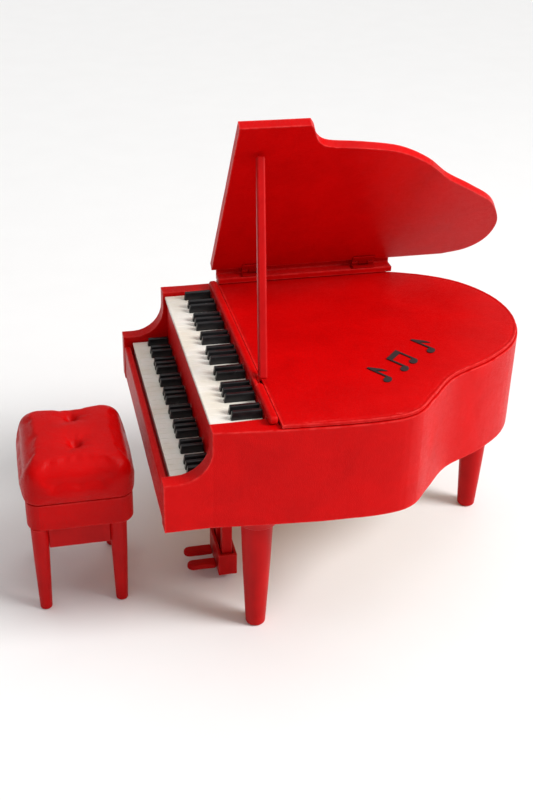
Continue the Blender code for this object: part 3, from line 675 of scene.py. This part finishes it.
def turned(profile, centre, sides=LEG_SIDES):
    """A closed turned shape: a profile of (radius, height) pairs, from the axis round to the axis."""
    shape = bmesh.new()
    rings = []
    for radius, height in profile:
        if radius < 1e-7:
            rings.append([shape.verts.new((centre.x, centre.y, height))])
            continue
        ring = []
        for step in range(sides):
            angle = 2 * math.pi * step / sides
            ring.append(shape.verts.new(
                (centre.x + radius * math.cos(angle), centre.y + radius * math.sin(angle), height)
            ))
        rings.append(ring)
    for lower, upper in zip(rings, rings[1:]):
        for step in range(sides):
            after = (step + 1) % sides
            if len(lower) == 1:
                shape.faces.new((lower[0], upper[after], upper[step]))
            elif len(upper) == 1:
                shape.faces.new((lower[step], lower[after], upper[0]))
            else:
                shape.faces.new((lower[step], lower[after], upper[after], upper[step]))
    bmesh.ops.recalc_face_normals(shape, faces=shape.faces)
    return shape


def rounded_profile(low_z, high_z, low_radius, high_radius, foot, shoulder, swell=0.0):
    """The profile of a tapered leg with a rounded foot and shoulder."""
    profile = [(0.0, low_z)]
    for step in range(7):
        angle = math.radians(90.0 * step / 6)
        profile.append((
            low_radius - foot + foot * math.sin(angle),
            low_z + foot * (1 - math.cos(angle)),
        ))
    for step in range(1, 16):
        share = step / 16
        radius = low_radius + (high_radius - low_radius) * share + swell * math.sin(math.pi * share)
        profile.append((radius, low_z + foot + (high_z - low_z - foot - shoulder) * share))
    for step in range(7):
        angle = math.radians(90.0 * step / 6)
        profile.append((
            high_radius - shoulder + shoulder * math.cos(angle),
            high_z - shoulder + shoulder * math.sin(angle),
        ))
    profile.append((0.0, high_z))
    return profile


for node in ("treble_leg", "bass_leg", "tail_leg"):
    low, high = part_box(node)
    centre = (low + high) / 2
    top_radius = (high.x - low.x) / 2
    profile = rounded_profile(
        low.z, high.z, LEG_FOOT, top_radius, foot=1.1 * MM, shoulder=0.3 * MM, swell=0.15 * MM
    )
    leg = turned(profile, centre)
    ripple(leg, amount=0.04 * MM, length=11.0 * MM, seed=1.9)
    finish_piece(node + "_turned", leg, paint, "red_painted_wood", "piano", node)
    low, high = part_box(node + "_collar")
    radius = (high.x - low.x) / 2
    profile = rounded_profile(low.z, high.z, radius - COLLAR_BEVEL, radius, foot=0.7 * MM, shoulder=0.4 * MM)
    collar = turned(profile, centre)
    finish_piece(
        node + "_collar_turned", collar, paint, "red_painted_wood", "piano", node + "_collar"
    )

# The lyre: two square posts hang from the case and stand in a shallow tray, and two round-ended pedals
# are glued to the tray's front.
POST_EDGE = 0.55 * MM
TRAY_EDGE = 0.4 * MM
PEDAL_EDGE = 0.85 * MM
for node, edge in (
    ("treble_lyre_post", POST_EDGE), ("bass_lyre_post", POST_EDGE), ("pedal_box", TRAY_EDGE),
    ("treble_pedal", PEDAL_EDGE), ("bass_pedal", PEDAL_EDGE),
):
    part = whole_copy(node)
    round_edges(part, edge)
    ripple(part, amount=0.03 * MM, length=6.0 * MM, seed=8.2)
    finish_piece(node + "_painted", part, paint, "red_painted_wood", "piano", node)

# Three music notes in a rising row on the top panel: cut from thin black plastic with a matt face, and
# glued on.
card, tree, shader = new_material("black_print", 0.6)
where = tree.nodes.new("ShaderNodeTexCoord").outputs["Object"]
speckle = add_node(tree, "ShaderNodeTexNoise", None, {"Scale": 1500.0, "Detail": 3.0}, Vector=where)
colour = two_tone(tree, speckle.outputs["Fac"], (0.008, 0.007, 0.008), (0.030, 0.022, 0.023))
rough = add_node(
    tree, "ShaderNodeMapRange", None, {"To Min": 0.45, "To Max": 0.75}, Value=speckle.outputs["Fac"]
)
feed(shader, Base_Color=colour, Roughness=rough.outputs[0])
for node in ("ornament_first_note", "ornament_note_pair", "ornament_last_note"):
    note = whole_copy(node)
    round_edges(note, 0.1 * MM, steps=2, least=50.0)
    finish_piece(node + "_card", note, card, "black_print", "piano", node)

# The stool's cushion: foam under leatherette, crowned, with soft shoulders and two buttons drawn down
# through it. The covering puckers round each button. It is inflated at twelve times its size, as cloth.
FULL_SIZE = 12.0
START_SHARE = 1.005
VOXEL = 0.0085
CLOTH_FRAMES = 20
HELD_BAND = 0.020
MOST_MOVE = 0.012
BUTTONS = ((-27.6, 46.5), (-27.6, 66.5))
CROWN = 1.9 * MM
DIMPLE = 1.3 * MM
DIMPLE_REACH = 5.0 * MM
PIT = 2.6 * MM
PIT_REACH = 1.9 * MM
PUCKER = 0.10 * MM
PUCKER_REACH = 9.0 * MM
CREASE = 0.11 * MM
CREASE_LENGTH = 7.5 * MM
STOOL_DARK = (0.44, 0.0008, 0.0012)
STOOL_LIGHT = (0.58, 0.0016, 0.0020)
stool_wrap = leatherette(
    "stool_leatherette", STOOL_DARK, STOOL_LIGHT, shine=(0.24, 0.42),
    pebble=0.6 * MM, crease=1.9 * MM, depth=0.10 * MM,
)
cushion_low, cushion_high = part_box("stool_cushion")
cushion_middle = (cushion_low + cushion_high) / 2
button_at = [place(x, y, 0) for x, y in BUTTONS]


def soft_slab(low, high, corner, bottom_edge, top_edge):
    """A box with round corners in plan, and rounded lower and upper edges."""
    shape = block(low, high)
    upright = [edge for edge in shape.edges if abs(edge.verts[0].co.z - edge.verts[1].co.z) > 1e-6]
    bmesh.ops.bevel(shape, geom=upright, offset=corner, segments=8, profile=0.5, affect="EDGES")
    for z, width in ((low.z, bottom_edge), (high.z, top_edge)):
        ring = [edge for edge in shape.edges if all(abs(vert.co.z - z) < 1e-6 for vert in edge.verts)]
        bmesh.ops.bevel(shape, geom=ring, offset=width, segments=6, profile=0.5, affect="EDGES")
    return shape


pad = soft_slab(
    cushion_low, cushion_high, corner=7.0 * MM, bottom_edge=0.6 * MM, top_edge=4.2 * MM
)
pad.transform(Matrix.Translation(-cushion_middle))
pad.transform(Matrix.Diagonal((FULL_SIZE * START_SHARE,) * 3 + (1.0,)))
pad_mesh = bpy.data.meshes.new("stool_cushion_pad")
pad.to_mesh(pad_mesh)
pad.free()
cushion = bpy.data.objects.new("stool_cushion_pad", pad_mesh)
bpy.context.scene.collection.objects.link(cushion)


def keep_result(piece):
    """Applies the piece's modifiers to its mesh."""
    graph = bpy.context.evaluated_depsgraph_get()
    mesh = bpy.data.meshes.new_from_object(piece.evaluated_get(graph))
    piece.modifiers.clear()
    piece.data = mesh


remesh = cushion.modifiers.new("voxels", "REMESH")
remesh.mode = "VOXEL"
remesh.voxel_size = VOXEL
keep_result(cushion)
smooth = cushion.modifiers.new("smooth", "SMOOTH")
smooth.iterations = 3
keep_result(cushion)
start = [vert.co.copy() for vert in cushion.data.vertices]
base_z = min(point.z for point in start)
held = cushion.vertex_groups.new(name="held")
for index, point in enumerate(start):
    if point.z < base_z + HELD_BAND:
        held.add([index], 1.0, "REPLACE")
cloth = cushion.modifiers.new("cloth", "CLOTH")
cloth.settings.quality = 6
cloth.settings.mass = 0.35
cloth.settings.tension_stiffness = 14.0
cloth.settings.compression_stiffness = 10.0
cloth.settings.shear_stiffness = 6.0
cloth.settings.bending_stiffness = 6.0
cloth.settings.use_pressure = True
cloth.settings.uniform_pressure_force = 4.0
cloth.settings.vertex_group_mass = "held"
cloth.settings.effector_weights.gravity = 0.0
for step in range(1, CLOTH_FRAMES + 1):
    bpy.context.scene.frame_set(step)
keep_result(cushion)
bpy.context.scene.frame_set(1)
for vert, point in zip(cushion.data.vertices, start):
    move = vert.co - point
    if move.length > MOST_MOVE:
        vert.co = point + move * (MOST_MOVE / move.length)
soft = cushion.modifiers.new("soft", "SMOOTH")
soft.iterations = 4
keep_result(cushion)
finer = cushion.modifiers.new("finer", "SUBSURF")
finer.levels = 1
finer.render_levels = 1
keep_result(cushion)
true_size = Matrix.Diagonal((1 / FULL_SIZE,) * 3 + (1.0,))
cushion.data.transform(Matrix.Translation(cushion_middle) @ true_size)
outward = [vert.normal.copy() for vert in cushion.data.vertices]
half_size = (cushion_high - cushion_low) / 2
for vert, normal in zip(cushion.data.vertices, outward):
    point = vert.co.copy()
    vert.co += normal * CREASE * noise.noise(point / CREASE_LENGTH)
    if point.z < cushion_middle.z:
        continue
    across = (point.x - cushion_middle.x) / half_size.x
    along = (point.y - cushion_middle.y) / half_size.y
    lift = (point.z - cushion_middle.z) / half_size.z
    vert.co.z += CROWN * lift * max(0.0, 1 - across**4) * max(0.0, 1 - along**4)
    for number, at in enumerate(button_at):
        away = (point - at).to_2d()
        distance = away.length
        vert.co.z -= lift * DIMPLE * math.exp(-((distance / DIMPLE_REACH) ** 2))
        vert.co.z -= lift * PIT * math.exp(-((distance / PIT_REACH) ** 2))
        if distance > PUCKER_REACH or distance < 0.5 * MM:
            continue
        angle = math.atan2(away.y, away.x)
        spread = math.sin(math.pi * distance / PUCKER_REACH) ** 1.3
        ridge = math.cos(5 * angle + 1.3 * number + 0.8 * math.sin(2 * angle))
        ridge += 0.6 * math.cos(9 * angle + 2.1 + number)
        vert.co.z += PUCKER * spread * ridge
cushion.data.name = "stool_cushion_pad"
cushion.vertex_groups.clear()
cushion.data.materials.clear()
cushion.data.materials.append(stool_wrap)
cushion.data.shade_smooth()
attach(cushion, "stool")
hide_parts("stool_cushion")

# Two covered buttons: small domes in the cushion's own leatherette, tied down through the foam to the
# seat below.
BUTTON_RIM = 0.35 * MM
BUTTON_DOME = 1.1 * MM
for number, at in enumerate(button_at):
    low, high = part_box(f"stool_button_{number}")
    radius = (high.x - low.x) / 2
    rim_z = low.z + BUTTON_RIM
    profile = [(0.0, low.z), (radius * 0.8, low.z), (radius, rim_z)]
    for step in range(1, 6):
        angle = math.radians(15 * step)
        profile.append((radius * math.cos(angle), rim_z + BUTTON_DOME * math.sin(angle)))
    profile.append((0.0, rim_z + BUTTON_DOME))
    dome = turned(profile, (low + high) / 2, 32)
    finish_piece(
        f"stool_button_{number}_dome", dome, stool_wrap, "stool_leatherette", "stool",
        f"stool_button_{number}",
    )

# The seat box under the cushion: a shallow wooden box with rounded corners, wrapped in the cushion's
# leatherette, which is stapled underneath and pulls into slight waves.
seat_low, seat_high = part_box("stool_seat_box")
seat = soft_slab(
    seat_low, seat_high, corner=6.0 * MM, bottom_edge=1.5 * MM, top_edge=0.5 * MM
)
for direction in (ALONG, ACROSS, UPWARD):
    cut_across(seat, direction, step=1.6 * MM)
ripple(seat, amount=0.10 * MM, length=7.0 * MM, seed=12.6)
finish_piece("stool_seat_box_wrap", seat, stool_wrap, "stool_leatherette", "stool", "stool_seat_box")

# The stool's frame: four turned legs with a slight taper, let into the seat box, and an apron
# tenoned between each pair, all painted red.
STOOL_FOOT = 2.4 * MM
LEG_SUNK = 1.0 * MM
APRON_TENON = Vector((0.45 * MM, 0.0, 0.0))
for row in ("treble", "bass"):
    for end in ("player", "piano"):
        node = f"stool_{row}_{end}_leg"
        low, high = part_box(node)
        profile = rounded_profile(
            low.z, high.z + LEG_SUNK, STOOL_FOOT, (high.x - low.x) / 2,
            foot=0.8 * MM, shoulder=0.1 * MM, swell=0.1 * MM,
        )
        leg = turned(profile, (low + high) / 2, 40)
        finish_piece(node + "_turned", leg, paint, "red_painted_wood", "stool", node)
    node = f"stool_{row}_apron"
    low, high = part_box(node)
    apron = block(low - APRON_TENON, high + APRON_TENON, 0.5 * MM)
    finish_piece(node + "_painted", apron, paint, "red_painted_wood", "stool", node)

# The studio: a plain pale paper floor, soft light from above and from the player's side, and the camera.
# None of it belongs to the piano.
paper, tree, shader = new_material("pale_paper", 0.9, specular=0.1)
where = tree.nodes.new("ShaderNodeTexCoord").outputs["Object"]
fibre = add_node(tree, "ShaderNodeTexNoise", None, {"Scale": 30.0, "Detail": 4.0}, Vector=where)
feed(shader, Base_Color=two_tone(tree, fibre.outputs["Fac"], (0.86, 0.855, 0.85), (0.89, 0.885, 0.88)))
floor_shape = bmesh.new()
bmesh.ops.create_grid(floor_shape, x_segments=8, y_segments=8, size=4.0)
floor_mesh = bpy.data.meshes.new("floor")
floor_shape.to_mesh(floor_mesh)
floor_shape.free()
floor_mesh.materials.append(paper)
floor = bpy.data.objects.new("floor", floor_mesh)
bpy.context.scene.collection.objects.link(floor)

world = bpy.data.worlds.new("studio")
world.use_nodes = True
sky = world.node_tree.nodes["Background"].inputs
sky["Color"].default_value = (1.0, 0.995, 0.99, 1.0)
sky["Strength"].default_value = 0.30
bpy.context.scene.world = world


def studio_lamp(name, kind, at, aim, power, **sizes):
    """A lamp at a place, turned to its aim."""
    lamp = bpy.data.lights.new(name, kind)
    lamp.energy = power
    for key, value in sizes.items():
        setattr(lamp, key, value)
    holder = bpy.data.objects.new(name, lamp)
    holder.location = at
    holder.rotation_euler = (Vector(aim) - Vector(at)).to_track_quat("-Z", "Y").to_euler()
    bpy.context.scene.collection.objects.link(holder)


studio_lamp("key", "SUN", (0.80, -0.40, 0.80), (0.0, 0.0, 0.0), 2.0, angle=math.radians(24.0))
studio_lamp("overhead", "SUN", (0.10, 0.25, 1.20), (0.0, 0.0, 0.0), 0.9, angle=math.radians(70.0))
studio_lamp("side_box", "AREA", (0.62, -0.34, 0.60), (0.02, 0.0, 0.05), 2.8, size=0.30)
studio_lamp("front_box", "AREA", (-0.30, -1.05, 0.75), (0.0, 0.0, 0.06), 0.8, size=0.5)

CAMERA_AT = Vector((-0.10289, -0.40896, 0.31128))
CAMERA_TURN = Euler((math.radians(60.1826), math.radians(-1.0256), math.radians(-12.6863)))
lens = bpy.data.cameras.new("camera")
lens.lens = 53.7
lens.sensor_width = 36.0
lens.clip_start = 0.01
camera = bpy.data.objects.new("camera", lens)
camera.matrix_world = Matrix.LocRotScale(CAMERA_AT, CAMERA_TURN, None)
bpy.context.scene.collection.objects.link(camera)
bpy.context.scene.camera = camera
bpy.context.scene.view_settings.view_transform = "Standard"
